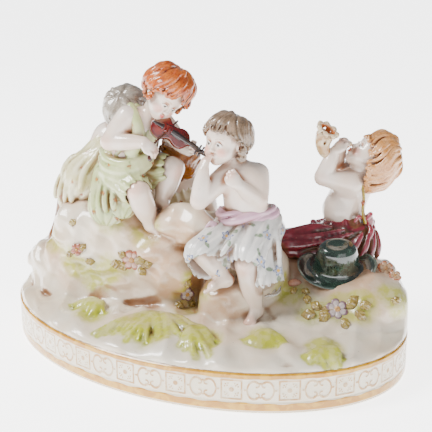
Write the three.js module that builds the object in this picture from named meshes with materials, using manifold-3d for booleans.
// Porcelain group of five putti making music on an oval rocky base.
// Millimetres, +Z up. The origin is the centre of the underside.
// The oval's long axis is X and the front is -Y.
// The whole group was cast in parts, luted together with slip and fired as one body, so it is one solid.

import * as THREE from "three";
import { mergeVertices } from "three/addons/utils/BufferGeometryUtils.js";
import Module from "manifold-3d";

const wasm = await Module();
wasm.setup();

// Driving sizes of the oval base
const HALF_LENGTH = 150;
const HALF_DEPTH = 103.5;
const BAND_TOP = 26.6;
const FOOT_HEIGHT = 1.6;
const GILT_LINE = 3.2;
const RECESS = 0.5;
const SHOULDER_TOP = 35;
const OVAL_STEPS = 84;
const FACE_LIMIT = 9400;

// Sizes that every child shares
const SKULL = [13, 14, 14.5];
const NECK_R = 6.2;
const CHEST = [16, 11.5, 14];
const BELLY = [15.5, 13.4, 14.5];
const SEAT = [16.5, 14, 12.5];
const SHOULDER_R = 7.8;
const ELBOW_R = 6.4;
const WRIST_R = 4.3;
const KNEE_R = 8.6;
const CALF_SWELL = 0.6;
const ANKLE_R = 4.9;
const FOOT = [10.4, 5, 4.4];
const PALM = [5.6, 4.4, 3];
const LIMB_SIDES = 8;

const PORCELAIN = new THREE.MeshStandardMaterial({ color: "#e9dfd2", roughness: 0.18, metalness: 0 });
PORCELAIN.name = "glazed_porcelain";

const at = (x, y, z) => new THREE.Vector3(x, y, z);
const between = (a, b, share) => a.clone().lerp(b, share);

// A geometry with its doubled vertices merged and its collapsed faces left out.
function weld(geometry) {
  const bare = geometry.clone();
  for (const name of Object.keys(bare.attributes)) {
    if (name !== "position") bare.deleteAttribute(name);
  }
  const merged = mergeVertices(bare, 1e-4);
  const faces = [];
  for (let i = 0; i < merged.index.count; i += 3) {
    const [a, b, c] = [0, 1, 2].map((k) => merged.index.getX(i + k));
    if (a !== b && b !== c && c !== a) faces.push(a, b, c);
  }
  merged.setIndex(faces);
  return merged;
}

// A closed geometry as a solid.
function solid(geometry) {
  const merged = weld(geometry);
  const vertProperties = new Float32Array(merged.attributes.position.array);
  const triVerts = new Uint32Array(merged.index.array);
  return new wasm.Manifold(new wasm.Mesh({ numProp: 3, vertProperties, triVerts }));
}

// A solid as a geometry for a THREE.Mesh.
function shape(body) {
  const mesh = body.getMesh();
  const geometry = new THREE.BufferGeometry();
  geometry.setAttribute("position", new THREE.BufferAttribute(mesh.vertProperties, 3));
  geometry.setIndex(new THREE.BufferAttribute(mesh.triVerts, 1));
  return geometry;
}

// Draws edges of a closed geometry together, the flattest first, until `target` faces are left. Each vertex
// carries the planes of its faces, and an edge costs how far its new place is off the planes of both ends.
function lighten(geometry, target) {
  const points = geometry.attributes.position;
  const places = [];
  for (let i = 0; i < points.count; i++) places.push(new THREE.Vector3().fromBufferAttribute(points, i));
  const corners = Array.from(geometry.index.array);
  let faces = [];
  for (let i = 0; i < corners.length; i += 3) faces.push(corners.slice(i, i + 3));
  const normal = (face, moved, place) => {
    const [a, b, c] = face.map((v) => (moved.includes(v) ? place : places[v]));
    return b.clone().sub(a).cross(c.clone().sub(a));
  };
  const sums = places.map(() => new Float64Array(10));
  for (const face of faces) {
    const n = normal(face, [], null);
    const area = n.length();
    if (area < 1e-9) continue;
    n.divideScalar(area);
    const plane = [n.x, n.y, n.z, -n.dot(places[face[0]])];
    for (const v of face) {
      for (let i = 0, k = 0; i < 4; i++) {
        for (let j = i; j < 4; j++) sums[v][k++] += area * plane[i] * plane[j];
      }
    }
  }
  const off = (p, a, b) => {
    const q = sums[a].map((value, i) => value + sums[b][i]);
    const row = q[0] * p.x * p.x + q[4] * p.y * p.y + q[7] * p.z * p.z + q[9];
    const mixed = q[1] * p.x * p.y + q[2] * p.x * p.z + q[5] * p.y * p.z;
    return row + 2 * (mixed + q[3] * p.x + q[6] * p.y + q[8] * p.z);
  };
  while (faces.length > target) {
    const around = places.map(() => []);
    for (const face of faces) face.forEach((v) => around[v].push(face));
    const edges = [];
    for (const face of faces) {
      for (let k = 0; k < 3; k++) {
        const [a, b] = [face[k], face[(k + 1) % 3]];
        if (a > b || places[a].z < 0.01 !== places[b].z < 0.01) continue;
        const options = [places[a], places[b], places[a].clone().lerp(places[b], 0.5)];
        const costs = options.map((p) => off(p, a, b));
        const cost = Math.min(...costs);
        const place = options[costs.indexOf(cost)].clone();
        edges.push({ a, b, place, cost: cost + 1e-5 * places[a].distanceTo(places[b]) });
      }
    }
    edges.sort((one, other) => one.cost - other.cost);
    const touched = new Set();
    const gone = new Set();
    const before = faces.length;
    for (const { a, b, place } of edges.slice(0, Math.ceil(edges.length / 3))) {
      if (before - gone.size <= target) break;
      const ring = (v) => new Set(around[v].flat());
      const [ringA, ringB] = [ring(a), ring(b)];
      if ([...ringA, ...ringB].some((v) => touched.has(v))) continue;
      if ([...ringA].filter((v) => ringB.has(v)).length !== 4) continue;
      const shared = around[a].filter((face) => face.includes(b));
      const kept = [...around[a], ...around[b]].filter((face) => !shared.includes(face));
      const turns = kept.some((face) => {
        const [old, fresh] = [normal(face, [], null), normal(face, [a, b], place)];
        const size = old.length() * fresh.length();
        return fresh.length() < 0.01 || (old.length() > 0.01 && old.dot(fresh) < 0.3 * size);
      });
      if (turns) continue;
      places[a] = place;
      sums[b].forEach((value, i) => (sums[a][i] += value));
      for (const face of around[b]) face[face.indexOf(b)] = a;
      shared.forEach((face) => gone.add(face));
      [...ringA, ...ringB].forEach((v) => touched.add(v));
    }
    faces = faces.filter((face) => !gone.has(face));
    if (gone.size === 0) break;
  }
  const light = new THREE.BufferGeometry();
  const flat = places.flatMap((p) => [p.x, p.y, p.z]);
  light.setAttribute("position", new THREE.Float32BufferAttribute(flat, 3));
  light.setIndex(faces.flat());
  return light;
}

const join = (bodies) => bodies.reduce((all, body) => all.add(body));

// A turning matrix whose local Y points along `up`, and whose local Z is as near to `front` as it can be.
function facing(up, front) {
  const y = up.clone().normalize();
  const x = y.clone().cross(front).normalize();
  return new THREE.Matrix4().makeBasis(x, y, x.clone().cross(y));
}

// An egg of half-widths [x, y, z] in the frame that `up` and `front` give.
function egg(centre, [rx, ry, rz], up, front, wide = 10, high = 8, carve = null) {
  const geometry = weld(new THREE.SphereGeometry(1, wide, high));
  const points = geometry.attributes.position;
  const p = new THREE.Vector3();
  for (let i = 0; i < points.count; i++) {
    p.fromBufferAttribute(points, i);
    if (carve) p.multiplyScalar(carve(p));
    points.setXYZ(i, p.x, p.y, p.z);
  }
  geometry.scale(rx, ry, rz);
  geometry.applyMatrix4(facing(up, front));
  geometry.translate(centre.x, centre.y, centre.z);
  return solid(geometry);
}

// A round taper with ball ends. `swell` widens it at a share of its length, as a calf does.
function limb(a, b, ra, rb, { swell = 0, where = 0.4, sides = LIMB_SIDES } = {}) {
  const length = a.distanceTo(b);
  const middle = ra + (rb - ra) * where + swell;
  const profile = [
    [0, -ra],
    [ra * Math.SQRT1_2, -ra * Math.SQRT1_2],
    [ra, 0],
    [middle, length * where],
    [rb, length],
    [rb * Math.SQRT1_2, length + rb * Math.SQRT1_2],
    [0, length + rb],
  ].map(([x, y]) => new THREE.Vector2(x, y));
  const geometry = new THREE.LatheGeometry(profile, sides);
  const turn = new THREE.Quaternion().setFromUnitVectors(at(0, 1, 0), b.clone().sub(a).normalize());
  geometry.applyQuaternion(turn);
  geometry.translate(a.x, a.y, a.z);
  return solid(geometry);
}

// A tube along a smooth curve through `points`, as wide as `radii` says, closed by a flat fan at each end.
function sweep(points, radii, sides = 8, steps = 12, flatten = 1) {
  const curve = new THREE.CatmullRomCurve3(points);
  const { normals, binormals } = curve.computeFrenetFrames(steps);
  const positions = [];
  const index = [];
  for (let i = 0; i <= steps; i++) {
    const t = i / steps;
    const place = t * (radii.length - 1);
    const low = Math.min(Math.floor(place), radii.length - 2);
    const r = THREE.MathUtils.lerp(radii[low], radii[low + 1], place - low);
    const centre = curve.getPoint(t);
    for (let k = 0; k < sides; k++) {
      const angle = (2 * Math.PI * k) / sides;
      const p = centre.clone();
      p.addScaledVector(normals[i], r * Math.cos(angle));
      p.addScaledVector(binormals[i], r * flatten * Math.sin(angle));
      positions.push(p.x, p.y, p.z);
    }
  }
  for (let i = 0; i < steps; i++) {
    for (let k = 0; k < sides; k++) {
      const [a, b] = [i * sides + k, i * sides + ((k + 1) % sides)];
      index.push(a, b, b + sides, a, b + sides, a + sides);
    }
  }
  for (const [end, centre] of [[0, curve.getPoint(0)], [steps, curve.getPoint(1)]]) {
    const middle = positions.length / 3;
    positions.push(centre.x, centre.y, centre.z);
    for (let k = 0; k < sides; k++) {
      const [a, b] = [end * sides + k, end * sides + ((k + 1) % sides)];
      index.push(middle, ...(end === 0 ? [b, a] : [a, b]));
    }
  }
  const geometry = new THREE.BufferGeometry();
  geometry.setAttribute("position", new THREE.Float32BufferAttribute(positions, 3));
  geometry.setIndex(index);
  return solid(geometry);
}

// Cloth drawn over a limb: a taper whose section is fluted, with the folds turning a little along it.
const UPRIGHT = at(0, 0, 1);

function drape(a, b, ra, rb, { folds = 5, depth = 0.1, twist = 0.8, flatten = 1, front = UPRIGHT }) {
  const steps = 5;
  const length = a.distanceTo(b);
  const sides = folds * 3;
  const profile = [new THREE.Vector2(0, -ra * 0.7)];
  for (let i = 0; i <= steps; i++) {
    const t = i / steps;
    profile.push(new THREE.Vector2(ra + (rb - ra) * t, length * t));
  }
  profile.push(new THREE.Vector2(0, length + rb * 0.6));
  const geometry = weld(new THREE.LatheGeometry(profile, sides));
  const points = geometry.attributes.position;
  for (let i = 0; i < points.count; i++) {
    const [x, y, z] = [points.getX(i), points.getY(i), points.getZ(i)];
    const turn = Math.round((Math.atan2(x, z) * sides) / (2 * Math.PI)) / sides;
    const wave = 1 + depth * Math.cos(2 * Math.PI * turn * folds + (twist * y) / length);
    points.setXYZ(i, x * wave, y, z * wave * flatten);
  }
  geometry.applyMatrix4(facing(b.clone().sub(a), front));
  geometry.translate(a.x, a.y, a.z);
  return solid(geometry);
}

// Rockwork: each ledge is a flat-topped dome, and the ground is the smooth top of them all.
// x, y: centre; a, b: half-widths; turn: degrees; top: height; edge: how square its lip is;
// slope: how far its top falls towards the front
const LEDGES = [
  { x: 0, y: 0, a: 146, b: 99, turn: 0, top: 37, edge: 8 },
  { x: -88, y: 4, a: 56, b: 64, turn: 10, top: 60, edge: 5 },
  { x: -42, y: -22, a: 60, b: 27, turn: 12, top: 62, edge: 4 },
  { x: 88, y: 34, a: 60, b: 60, turn: -10, top: 58, edge: 3, slope: 0.12 },
  { x: 0, y: 46, a: 118, b: 50, turn: 0, top: 60, edge: 5 },
  { x: 33, y: -22, a: 24, b: 22, turn: 0, top: 60, edge: 4 },
  { x: 40, y: 4, a: 27, b: 27, turn: 0, top: 81, edge: 4 },
  { x: -49, y: -12, a: 37, b: 31, turn: 12, top: 107, edge: 3 },
  { x: -9, y: -4, a: 30, b: 26, turn: 0, top: 88, edge: 3 },
  { x: -22, y: 34, a: 38, b: 27, turn: 0, top: 84, edge: 4 },
  { x: 102, y: 52, a: 34, b: 28, turn: 0, top: 63, edge: 3 },
  { x: -92, y: -14, a: 22, b: 28, turn: 30, top: 80, edge: 3 },
];
const BLEND = 4;
const ROCK_RINGS = 20;

function ledge({ x, y, a, b, turn, top, edge, slope = 0 }, px, py) {
  const angle = THREE.MathUtils.degToRad(turn);
  const [dx, dy] = [px - x, py - y];
  const u = (dx * Math.cos(angle) + dy * Math.sin(angle)) / a;
  const v = (dy * Math.cos(angle) - dx * Math.sin(angle)) / b;
  const reach = Math.hypot(u, v);
  const foot = BAND_TOP;
  if (reach >= 1) return foot - (reach - 1) * 40;
  return foot + (top + slope * dy - foot) * Math.sqrt(1 - reach ** edge);
}

function ground(x, y) {
  const sum = LEDGES.reduce((total, one) => total + Math.exp(ledge(one, x, y) / BLEND), 0);
  const knobs = 1.1 * Math.sin(x * 0.16 + y * 0.09) * Math.cos(y * 0.19 - x * 0.05);
  return BLEND * Math.log(sum) + knobs;
}

// The oval plinth band and the rock above it: one turned profile, drawn out to an oval and lifted
// to the ground.
function baseWithRock() {
  const rim = 1;
  const inset = RECESS / HALF_DEPTH;
  const profile = [
    [0, 0],
    [rim - inset, 0],
    [rim, FOOT_HEIGHT],
    [rim, FOOT_HEIGHT + GILT_LINE + 1],
    [rim - inset, FOOT_HEIGHT + GILT_LINE + 1.6],
    [rim - inset, BAND_TOP - GILT_LINE - 0.6],
    [rim, BAND_TOP - GILT_LINE],
    [rim, BAND_TOP],
    [rim + 0.006, BAND_TOP + 4],
    ...Array.from({ length: ROCK_RINGS }, (_, i) => [0.98 * (1 - i / ROCK_RINGS), SHOULDER_TOP]),
    [0, SHOULDER_TOP],
  ].map(([r, z]) => new THREE.Vector2(r, z));
  const geometry = weld(new THREE.LatheGeometry(profile, OVAL_STEPS));
  geometry.rotateX(Math.PI / 2);
  geometry.scale(HALF_LENGTH, HALF_DEPTH, 1);
  const points = geometry.attributes.position;
  for (let i = 0; i < points.count; i++) {
    if (points.getZ(i) < SHOULDER_TOP - 0.5) continue;
    points.setZ(i, ground(points.getX(i), points.getY(i)));
  }
  return solid(geometry);
}

// Boulders that overhang the ledges: centre, half-widths, turn in degrees about Z
const BOULDERS = [
  [at(1, -27, 95), [25, 14, 13.5], 2],
  [at(-58, -33, 90), [25, 16, 15], 12],
  [at(-29, -35, 75), [22, 13, 11], -8],
  [at(-88, -34, 82), [16, 15, 19], 20],
  [at(38, -27, 47), [17, 12, 14], 20],
  [at(-112, -20, 50), [26, 26, 14], 0],
  [at(120, 27, 46), [23, 24, 14], 0],
];

function boulders() {
  const lumps = ({ x, y, z }) =>
    1 + 0.06 * Math.sin(4.1 * x + 1.3) * Math.cos(3.7 * z) + 0.04 * Math.cos(5.3 * y);
  return BOULDERS.map(([centre, size, turn]) => {
    const angle = THREE.MathUtils.degToRad(turn);
    const front = at(Math.sin(angle), -Math.cos(angle), 0);
    return egg(centre, [size[0], size[2], size[1]], at(0, 0, 1), front, 10, 7, lumps);
  });
}

// A head: skull, cheeks and the mass of hair, which is combed into waves about the crown.
// `up` points through the crown and `face` out of the face.
function head({ centre, up, face, hair = 3.2, waves = 7, curls = [] }) {
  const z = face.clone().normalize();
  const y = up.clone().addScaledVector(z, -up.dot(z)).normalize();
  const x = y.clone().cross(z);
  const place = (right, high, front) => {
    const p = centre.clone();
    return p.addScaledVector(x, right).addScaledVector(y, high).addScaledVector(z, front);
  };
  const locks = (p) => 1 + 0.06 * Math.cos(waves * Math.atan2(p.x, p.z)) * Math.sin(6 * p.y);
  const cap = SKULL.map((r) => r + hair * 0.75);
  return join([
    egg(place(0, 0, 0), [SKULL[0], SKULL[2], SKULL[1]], y, z, 12, 9),
    egg(place(0, -5.5, 3.4), [9.6, 8.4, 9.6], y, z, 10, 6),
    egg(place(0, -3.4, 13.2), [1.7, 2, 1.9], y, z, 5, 4),
    egg(place(0, 2.6, -3.2), [cap[0], cap[2] - 1.4, cap[1] - 1.6], y, z, waves * 2, 9, locks),
    ...curls.map(([right, high, front, r]) => egg(place(right, high, front), [r, r, r], y, z, 7, 5)),
  ]);
}

// An arm from shoulder to fingertips.
function arm({ shoulder, elbow, wrist, tips }) {
  const palm = between(wrist, tips, 0.45);
  const along = tips.clone().sub(wrist);
  return join([
    limb(shoulder, elbow, SHOULDER_R, ELBOW_R, { swell: 0.5 }),
    limb(elbow, wrist, ELBOW_R, WRIST_R, { swell: 0.8, where: 0.35 }),
    egg(palm, [PALM[2], PALM[0], PALM[1]], along, at(0.3, -0.5, 0.8), 7, 5),
    limb(palm, tips, 2.6, 1.5, { sides: 6 }),
  ]);
}

// A bare leg from knee to toes.
function leg({ knee, ankle, toe }) {
  const heel = ankle.clone().addScaledVector(toe.clone().sub(ankle).normalize(), -1.5);
  const middle = between(heel, toe, 0.5);
  const along = toe.clone().sub(heel);
  return join([
    limb(knee, ankle, KNEE_R, ANKLE_R, { swell: CALF_SWELL, where: 0.4 }),
    egg(middle, [FOOT[1], FOOT[0], FOOT[2]], along, at(0, 0, 1), 8, 6),
  ]);
}

// Chest, belly and seat on a bent spine. `front` points out of the chest.
function torso({ chest, belly, seat, neck, skull, front }) {
  const spine = neck.clone().sub(belly);
  return join([
    limb(neck, between(neck, skull, 0.6), NECK_R, NECK_R, { sides: 8 }),
    egg(chest, [CHEST[0], CHEST[2], CHEST[1]], spine, front, 12, 7),
    egg(belly, [BELLY[0], BELLY[2], BELLY[1]], belly.clone().sub(seat), front, 12, 7),
    egg(seat, [SEAT[0], SEAT[2], SEAT[1]], at(0, 0, 1), front, 12, 7),
    limb(chest, belly, 12.8, 13.6, { sides: 10 }),
  ]);
}

// The fiddler, seated highest, in a short fluted dress
const SKIRT_FALL = { folds: 6, depth: 0.1, flatten: 0.6 };

function fiddler() {
  const skull = at(-18, -20, 181);
  const body = {
    skull,
    neck: at(-30, -21, 168),
    chest: at(-38, -21, 157),
    belly: at(-46, -24, 139),
    seat: at(-53, -21, 121),
    front: at(0.85, -0.35, -0.1),
  };
  const rightKnee = at(-28, -41, 117);
  const leftKnee = at(-19, -11, 128);
  const strap = [at(-39, -31, 173), at(-33, -33, 165), at(-31, -32, 155), at(-34, -33, 143)];
  const curls = [
    [-14, 4, 1, 5], [-13, -4, -3, 4.6], [14, 2, 1, 5], [13, -6, 1, 4.6], [-4, 15, 7, 4.6],
    [5, 10, -14, 5.4],
  ];
  return join([
    torso(body),
    head({ centre: skull, up: at(0.25, 0.45, 0.9), face: at(0.62, -0.5, -0.52), hair: 5, curls }),
    arm({
      shoulder: at(-40, -34, 167),
      elbow: at(-49, -43, 150),
      wrist: at(-23, -40, 152),
      tips: at(-13, -40, 146),
    }),
    arm({
      shoulder: at(-31, -9, 163),
      elbow: at(-18, -2, 144),
      wrist: at(-8, -7, 141),
      tips: at(0, -10, 144),
    }),
    leg({ knee: rightKnee, ankle: at(-22, -34, 93), toe: at(-11, -34, 86) }),
    leg({ knee: leftKnee, ankle: at(-24, -18, 105), toe: at(-12, -26, 102) }),
    drape(at(-52, -30, 119), at(-33, -38, 117), 14, 11.6, { folds: 6, depth: 0.07 }),
    drape(at(-50, -14, 121), at(-26, -13, 126), 14, 11.4, { folds: 6, depth: 0.07 }),
    drape(at(-40, -22, 152), at(-52, -24, 124), 15.5, 18, { folds: 7, depth: 0.08 }),
    drape(at(-52, -33, 122), at(-50, -41, 104), 15, 15, { ...SKIRT_FALL, front: at(0.5, -0.8, 0.2) }),
    sweep(strap, [3, 3.6, 4.4, 5], 6, 6),
  ]);
}

// The fiddle under its player's chin: a waisted body, a fingerboard, a scroll and a stub of bow
const FIDDLE_LENGTH = 29;
const FIDDLE_HALF = 8.6;
const FIDDLE_DEEP = 4.2;

function fiddle() {
  const chinEnd = at(-24, -28, 164);
  const scroll = at(4, -10, 142);
  const along = scroll.clone().sub(chinEnd).normalize();
  const outline = new THREE.Shape();
  const steps = 24;
  for (let i = 0; i < steps; i++) {
    const t = (2 * Math.PI * i) / steps;
    const waist = 1 - 0.34 * Math.exp(-(((Math.cos(t) + 0.1) / 0.38) ** 2));
    const lobe = Math.cos(t) > 0 ? 0.84 : 1;
    const [x, y] = [FIDDLE_HALF * Math.sin(t) * waist * lobe, (FIDDLE_LENGTH / 2) * (1 + Math.cos(t))];
    if (i === 0) outline.moveTo(x, y);
    else outline.lineTo(x, y);
  }
  const plate = new THREE.ExtrudeGeometry(outline, { depth: FIDDLE_DEEP, bevelEnabled: false, steps: 1 });
  plate.translate(0, 0, -FIDDLE_DEEP / 2);
  plate.applyMatrix4(facing(along, at(0.35, -0.75, 0.6)));
  plate.translate(chinEnd.x, chinEnd.y, chinEnd.z);
  const up = at(0.35, -0.75, 0.6).normalize().multiplyScalar(FIDDLE_DEEP / 2);
  const boardStart = between(chinEnd, scroll, 0.42).add(up);
  return join([
    solid(plate),
    limb(boardStart, scroll, 2, 1.3, { sides: 6 }),
    egg(scroll, [1.9, 2.8, 2.4], along, up, 6, 5),
    limb(at(-18, -34, 151), at(-12, -17, 162), 1, 0.8, { sides: 5 }),
    limb(at(-18, -38, 150), at(-16, -42, 141), 1.1, 1.3, { sides: 5 }),
  ]);
}

// The listener, cheek in hand, in a flowered skirt with a sash
function listener() {
  const skull = at(26, -16, 153);
  const body = {
    skull,
    neck: at(31, -11, 138),
    chest: at(36, -10, 126),
    belly: at(38, -8, 110),
    seat: at(39, -3, 92),
    front: at(-0.2, -0.98, 0.1),
  };
  const leftKnee = at(51, -30, 76);
  const rightKnee = at(24, -40, 82);
  const sash = [
    at(22, -13, 103), at(29, -24, 102), at(41, -22, 104), at(52, -11, 105), at(54, 1, 104),
    at(46, 9, 102),
  ];
  const curls = [
    [14, 3, -4, 5], [14, -4, -7, 5.2], [13, -11, -8, 4.4], [-14, 3, 3, 4.6], [-13, -4, 3, 4],
    [5, -8, -14, 5], [-5, -8, -14, 5],
  ];
  return join([
    torso(body),
    head({ centre: skull, up: at(0.1, 0.39, 0.92), face: at(-0.16, -0.97, 0.1), hair: 3.6, curls }),
    arm({
      shoulder: at(27, -19, 130),
      elbow: at(19, -38, 117),
      wrist: at(21, -36, 137),
      tips: at(20, -31, 149),
    }),
    arm({
      shoulder: at(44, -2, 130),
      elbow: at(50, -13, 115),
      wrist: at(43, -27, 128),
      tips: at(36, -29, 138),
    }),
    leg({ knee: leftKnee, ankle: at(56, -27, 43), toe: at(57, -40, 38) }),
    leg({ knee: rightKnee, ankle: at(38, -38, 66), toe: at(32, -49, 63) }),
    drape(at(46, -2, 92), at(50, -28, 80), 17, 13, { folds: 6, depth: 0.06 }),
    drape(at(33, -4, 92), at(26, -41, 84), 17, 12, { folds: 6, depth: 0.06 }),
    egg(at(38, -27, 85), [15, 10, 13], at(0, 0, 1), at(0, -1, 0), 10, 6),
    drape(at(37, -6, 104), at(40, -6, 82), 16, 20, { folds: 7, depth: 0.06, flatten: 0.95 }),
    drape(at(48, -7, 90), at(58, -18, 69), 15, 13, { folds: 5, depth: 0.1, flatten: 0.8 }),
    sweep(sash, [3.6, 4.4, 4.4, 4.8, 4.8, 3.6], 7),
    egg(at(25, -30, 95), [5, 4, 7], at(0.1, 0.2, 1), at(-0.5, -0.8, 0), 8, 6),
  ]);
}

// The horn player, kneeling behind the hat with head thrown back
function hornPlayer() {
  const skull = at(95, 71, 133);
  const body = {
    skull,
    neck: at(88, 66, 122),
    chest: at(84, 67, 110),
    belly: at(79, 64, 93),
    seat: at(82, 63, 75),
    front: at(-0.85, 0.45, 0.25),
  };
  const knee = at(51, 37, 71);
  const curls = [
    [-10, 3, -9, 6], [9, 3, -9, 6], [0, 2, -16, 7], [-7, -5, -14, 6.4], [7, -5, -14, 6.4],
    [0, -11, -13, 6], [-9, 10, 2, 5.4], [8, 10, 2, 5.4], [0, 14, 4, 5.4], [0, 11, -11, 6.4],
  ];
  return join([
    torso(body),
    head({ centre: skull, up: at(0.75, 0.45, 0.5), face: at(-0.55, -0.35, 0.8), hair: 4, curls }),
    arm({
      shoulder: at(88, 56, 115),
      elbow: at(70, 46, 120),
      wrist: at(76, 51, 138),
      tips: at(81, 55, 146),
    }),
    arm({
      shoulder: at(78, 81, 113),
      elbow: at(68, 72, 124),
      wrist: at(76, 64, 139),
      tips: at(80, 59, 148),
    }),
    drape(at(84, 60, 74), knee, 15, 11, { folds: 6, depth: 0.08, steps: 6 }),
    drape(at(82, 76, 74), at(60, 66, 70), 14, 10.5, { folds: 5, depth: 0.08 }),
    drape(at(81, 63, 84), at(86, 61, 64), 15, 18, { folds: 7, depth: 0.08 }),
    sweep(
      [at(62, 50, 84), at(70, 44, 80), at(84, 45, 79), at(96, 55, 84), at(99, 67, 87)],
      [3, 4, 4.4, 4.4, 3.4],
      7,
    ),
    egg(at(101, 63, 87), [4, 7, 3.4], at(0.2, 0, 1), at(1, 0.3, 0), 8, 5),
    horn(),
  ]);
}

// A shell horn: a narrow mouthpiece that bends up into a flared, hollow bell
function horn() {
  const route = [
    at(84, 60, 143), at(77, 54, 139), at(71, 48.5, 137), at(69, 46.5, 143), at(70, 47, 149),
    at(72.5, 47, 154),
  ];
  const trumpet = sweep(route, [1.6, 2.4, 3.6, 4.8, 6.2, 7.6], 9, 12);
  const mouth = egg(at(73, 47, 155), [5.2, 8, 5.2], at(0.55, -0.05, 0.8), at(0, -1, 0), 9, 6);
  return trumpet.subtract(mouth);
}

// The child behind on the left, with back turned and a long wrap over the stump
function leftChild() {
  const skull = at(-60, -5, 163);
  const body = {
    skull,
    neck: at(-65, -7, 151),
    chest: at(-70, -9, 141),
    belly: at(-77, -12, 128),
    seat: at(-82, -16, 114),
    front: at(-0.2, 0.9, 0.2),
  };
  const knee = at(-96, 2, 114);
  const curls = [
    [9, 4, -9, 4.6], [-9, 4, -9, 4.6], [0, -4, -13, 5], [0, 6, -12, 5], [-11, -3, -5, 4.4],
    [11, -3, -5, 4.4],
  ];
  return join([
    torso(body),
    head({ centre: skull, up: at(0.1, -0.15, 1), face: at(-0.1, 0.95, 0.2), hair: 2.4, curls }),
    arm({
      shoulder: at(-58, -5, 145),
      elbow: at(-50, 4, 134),
      wrist: at(-52, 17, 140),
      tips: at(-55, 21, 149),
    }),
    arm({
      shoulder: at(-82, -6, 142),
      elbow: at(-92, 4, 131),
      wrist: at(-82, 14, 138),
      tips: at(-72, 18, 146),
    }),
    leg({ knee, ankle: at(-98, 18, 88), toe: at(-100, 29, 84) }),
    leg({ knee: at(-76, 14, 110), ankle: at(-74, 26, 86), toe: at(-74, 36, 80) }),
    drape(at(-84, -16, 116), knee, 17, 11.5, { folds: 6, depth: 0.07 }),
    drape(at(-78, -10, 116), at(-76, 12, 112), 15, 11, { folds: 6, depth: 0.07 }),
    drape(at(-71, -13, 134), at(-86, -21, 111), 14, 19, { folds: 7, depth: 0.07 }),
    drape(at(-95, -22, 118), at(-97, -27, 99), 13, 12, { folds: 6, depth: 0.08, flatten: 0.8 }),
    limb(at(-96, -18, 104), at(-99, -17, 66), 14, 18, { sides: 9 }),
  ]);
}

// The child behind on the right, seated low with head thrown back
function rightChild() {
  const skull = at(-34, 19, 131);
  const body = {
    skull,
    neck: at(-40, 23, 121),
    chest: at(-46, 27, 111),
    belly: at(-48, 32, 99),
    seat: at(-46, 36, 87),
    front: at(-0.3, 0.8, 0.5),
  };
  const curls = [
    [8, 5, -7, 4.2], [-8, 5, -7, 4.2], [0, 9, -9, 4.6], [0, 13, 2, 4], [8, 9, 3, 4], [-8, 9, 3, 4],
  ];
  return join([
    torso(body),
    head({ centre: skull, up: at(0.55, -0.75, -0.3), face: at(0.05, -0.3, 0.95), hair: 1.8, curls }),
    arm({
      shoulder: at(-34, 33, 114),
      elbow: at(-30, 45, 103),
      wrist: at(-34, 59, 99),
      tips: at(-39, 66, 97),
    }),
    arm({
      shoulder: at(-60, 28, 113),
      elbow: at(-68, 38, 103),
      wrist: at(-62, 51, 98),
      tips: at(-55, 58, 96),
    }),
    leg({ knee: at(-38, 62, 90), ankle: at(-34, 69, 67), toe: at(-32, 80, 62) }),
    leg({ knee: at(-58, 58, 90), ankle: at(-58, 66, 67), toe: at(-61, 76, 62) }),
    drape(at(-41, 37, 90), at(-38, 60, 90), 13, 10.5, { folds: 6, depth: 0.07 }),
    drape(at(-51, 36, 90), at(-57, 57, 90), 13, 10.5, { folds: 6, depth: 0.07 }),
    drape(at(-47, 31, 102), at(-45, 36, 84), 14.5, 17, { folds: 7, depth: 0.07 }),
  ]);
}

// The felt hat on the ledge: a soft crown, and a brim that rolls up at both sides
const HAT_RINGS = [
  [0, -1.5], [26, 0.6], [27.6, 2], [26, 3], [18.6, 3.4],
  [15.9, 7], [14.4, 16], [12.4, 21.4], [7.6, 23.6], [0, 23.2],
];

function hat() {
  const profile = HAT_RINGS.map(([r, h]) => new THREE.Vector2(r, h));
  const geometry = weld(new THREE.LatheGeometry(profile, 20));
  const points = geometry.attributes.position;
  for (let i = 0; i < points.count; i++) {
    const [x, y, z] = [points.getX(i), points.getY(i), points.getZ(i)];
    const out = Math.max(0, Math.hypot(x, z) - 14) / 14;
    const roll = out * out * (5 * (Math.abs(x) / 28) ** 2 - 2 * Math.max(0, z / 28));
    points.setXYZ(i, x, y + roll, z * 0.78);
  }
  geometry.applyMatrix4(facing(at(0.14, -0.3, 0.94), at(0.5, -0.86, -0.2)));
  geometry.translate(91, 27, 59.6);
  return solid(geometry);
}

// Ornaments are pressed onto the wet rock from the front, so each one is set down along this line. It lies
// on the first surface that the line meets near its place, and leans between that surface and the line.
const PRESS = at(-0.48, 0.82, -0.3).normalize();
const rock = join([baseWithRock(), ...boulders()]);
const rockMesh = new THREE.Mesh(shape(rock));

function settle(place) {
  const start = place.clone().addScaledVector(PRESS, -25);
  const [hit] = new THREE.Raycaster(start, PRESS).intersectObject(rockMesh);
  const up = hit.face.normal.clone().addScaledVector(PRESS, -0.8).normalize();
  return { spot: hit.point, up };
}

// A loose pebble beside the hat
function pebble() {
  const { spot } = settle(at(69, 6, 54));
  return egg(spot.addScaledVector(PRESS, -1), [5.4, 2.8, 3.6], at(0, 0, 1), at(0.5, -0.86, 0), 8, 6);
}

// Modelled flowers: place, radius, petals
const FLOWERS = [
  [at(107, -6, 47), 7.6, 6],
  [at(4, -29, 44), 5, 5],
  [at(-36, -38, 65), 6.6, 6],
  [at(-81, -41, 66), 4.4, 5],
  [at(117, 50, 60), 6, 6],
];

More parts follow.
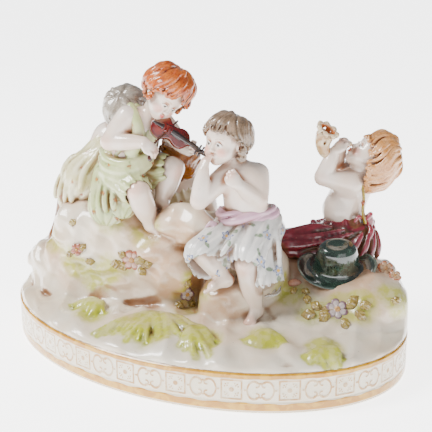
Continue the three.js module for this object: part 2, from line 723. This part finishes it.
function flower([place, r, petals]) {
  const { spot, up } = settle(place);
  const lobes = (p) => (Math.abs(p.y) < 0.3 ? 0.86 + 0.14 * Math.cos(petals * Math.atan2(p.x, p.z)) : 1);
  const side = at(1, 0, 0);
  return join([
    egg(spot.clone().addScaledVector(up, 0.6), [r, 2.2, r], up, side, petals * 3, 4, lobes),
    egg(spot.clone().addScaledVector(up, 2.4), [1.7, 1.2, 1.7], up, side, 6, 4),
  ]);
}

// Leaves: place, length, and the way each one points, in degrees
const LEAVES = [
  [at(112, 5, 51), 7, 60], [at(121, 4, 50), 7, 20], [at(92, -10, 48), 7, 160], [at(90, -17, 44), 8, 200],
  [at(115, -13, 41), 7, 300], [at(121, -3, 45), 7, 340], [at(-48, -42, 62), 7, 190],
  [at(-24, -38, 64), 7, 10], [at(-29, -37, 58), 6, 320], [at(-51, -44, 96), 6, 180],
  [at(-44, -40, 97), 6, 20], [at(-82, -46, 88), 6, 200], [at(4, -27, 52), 5.5, 80],
  [at(-1, -35, 39), 5.5, 190], [at(12, -36, 41), 5.5, 330], [at(71, -1, 51), 5, 250],
  [at(79, 2, 52), 5, 0], [at(136, 21, 51), 6, 30], [at(-69, -42, 59), 6, 0], [at(46, -76, 36), 8, 300],
  [at(33, -73, 37), 8, 240], [at(38, -68, 38), 8, 120], [at(54, -72, 36), 8, 20], [at(126, 46, 58), 6, 0],
];

function leaf([place, length, degrees]) {
  const { spot, up } = settle(place);
  const angle = THREE.MathUtils.degToRad(degrees);
  const out = at(Math.cos(angle), 0.6 * Math.sin(angle), 0.8 * Math.sin(angle));
  out.addScaledVector(up, -out.dot(up)).normalize();
  return egg(spot.addScaledVector(up, 0.4), [length * 0.4, length * 0.6, 1.6], out, up, 6, 5);
}

// Tufts of grass: fans of blades that fall from one root down the slope. Root, fall, half-width
const TUFTS = [
  [at(-6, -55, 41), at(14, -34, -8), 29],
  [at(-52, -58, 42), at(-2, -18, -6), 15],
  [at(28, -62, 40), at(22, -24, -6), 11],
  [at(74, -46, 40), at(7, -16, -6), 12],
  [at(114, -42, 36), at(7, -13, -5), 11],
];

function tuft([root, fall, half]) {
  const flutes = (p) => 1 + 0.1 * Math.cos(16 * p.x) * Math.max(0, -p.y + 0.4);
  const middle = root.clone().addScaledVector(fall, 0.5);
  const size = [half, fall.length() * 0.62, 4.5];
  return egg(middle, size, fall.clone().negate(), at(0.2, -0.4, 0.9), 14, 6, flutes);
}

const group = new THREE.Group();
const bodies = [
  rock,
  leftChild(),
  rightChild(),
  fiddler(),
  fiddle(),
  listener(),
  hornPlayer(),
  hat(),
  pebble(),
  ...FLOWERS.map(flower),
  ...LEAVES.map(leaf),
  ...TUFTS.map(tuft),
];
const whole = new THREE.Mesh(lighten(shape(join(bodies)), FACE_LIMIT), PORCELAIN);
whole.name = "putti_group_on_oval_base";
group.add(whole);

export default group;
